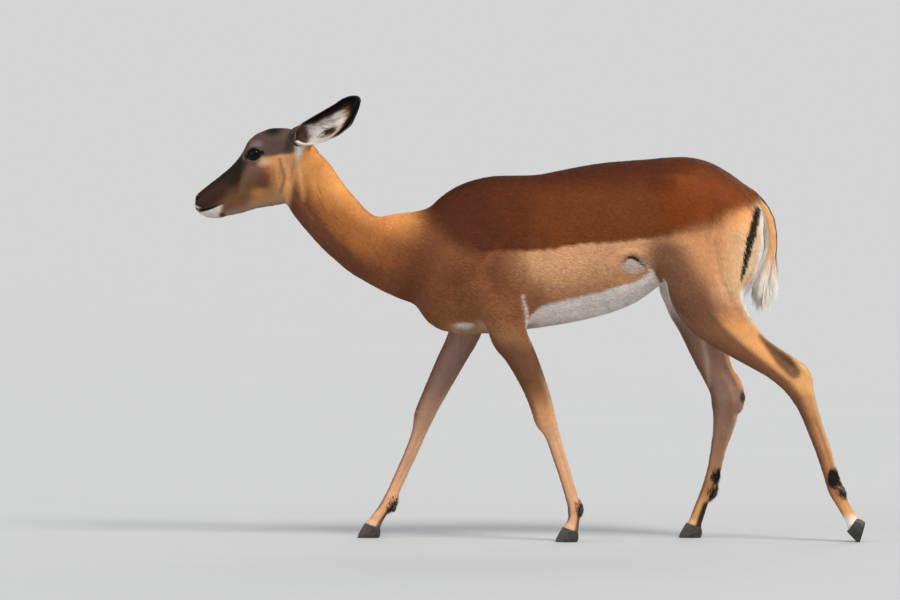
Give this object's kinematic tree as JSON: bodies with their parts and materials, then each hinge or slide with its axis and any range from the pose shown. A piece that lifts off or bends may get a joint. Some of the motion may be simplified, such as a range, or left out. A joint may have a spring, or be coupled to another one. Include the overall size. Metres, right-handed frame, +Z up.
{
  "type": "impala antelope",
  "caption": "Life-size still model of a walking impala ewe: long neck, cupped ears, slender legs on cloven hooves, hanging tufted tail, two-tone reddish coat with black haunch stripes.",
  "frame": {"origin": "centre of the model, seen from above, at the floor", "axes": "-X the way the animal faces, +Y its right side, +Z up"},
  "size_m": [1.5645, 0.2809, 1.0387],
  "materials": {
    "coat": "short smooth hair, reddish brown above, tan on the flank and white below",
    "horn": "dark satin hoof horn",
    "eye": "wet dark brown eye"
  },
  "bodies": {
    "root": {"head": "coat", "neck": "coat", "trunk": "coat", "tail": "coat", "ear_left": "coat", "ear_right": "coat", "eye_left": "eye", "eye_right": "eye", "fore_leg_left": "coat", "fore_leg_right": "coat", "hind_leg_left": "coat", "hind_leg_right": "coat", "hoof_fore_left_inner": "horn", "hoof_fore_left_outer": "horn", "hoof_fore_right_inner": "horn", "hoof_fore_right_outer": "horn", "hoof_hind_left_inner": "horn", "hoof_hind_left_outer": "horn", "hoof_hind_right_inner": "horn", "hoof_hind_right_outer": "horn", "dewclaw_fore_left_inner": "horn", "dewclaw_fore_left_outer": "horn", "dewclaw_fore_right_inner": "horn", "dewclaw_fore_right_outer": "horn", "dewclaw_hind_left_inner": "horn", "dewclaw_hind_left_outer": "horn", "dewclaw_hind_right_inner": "horn", "dewclaw_hind_right_outer": "horn"}
  },
  "joints": []
}
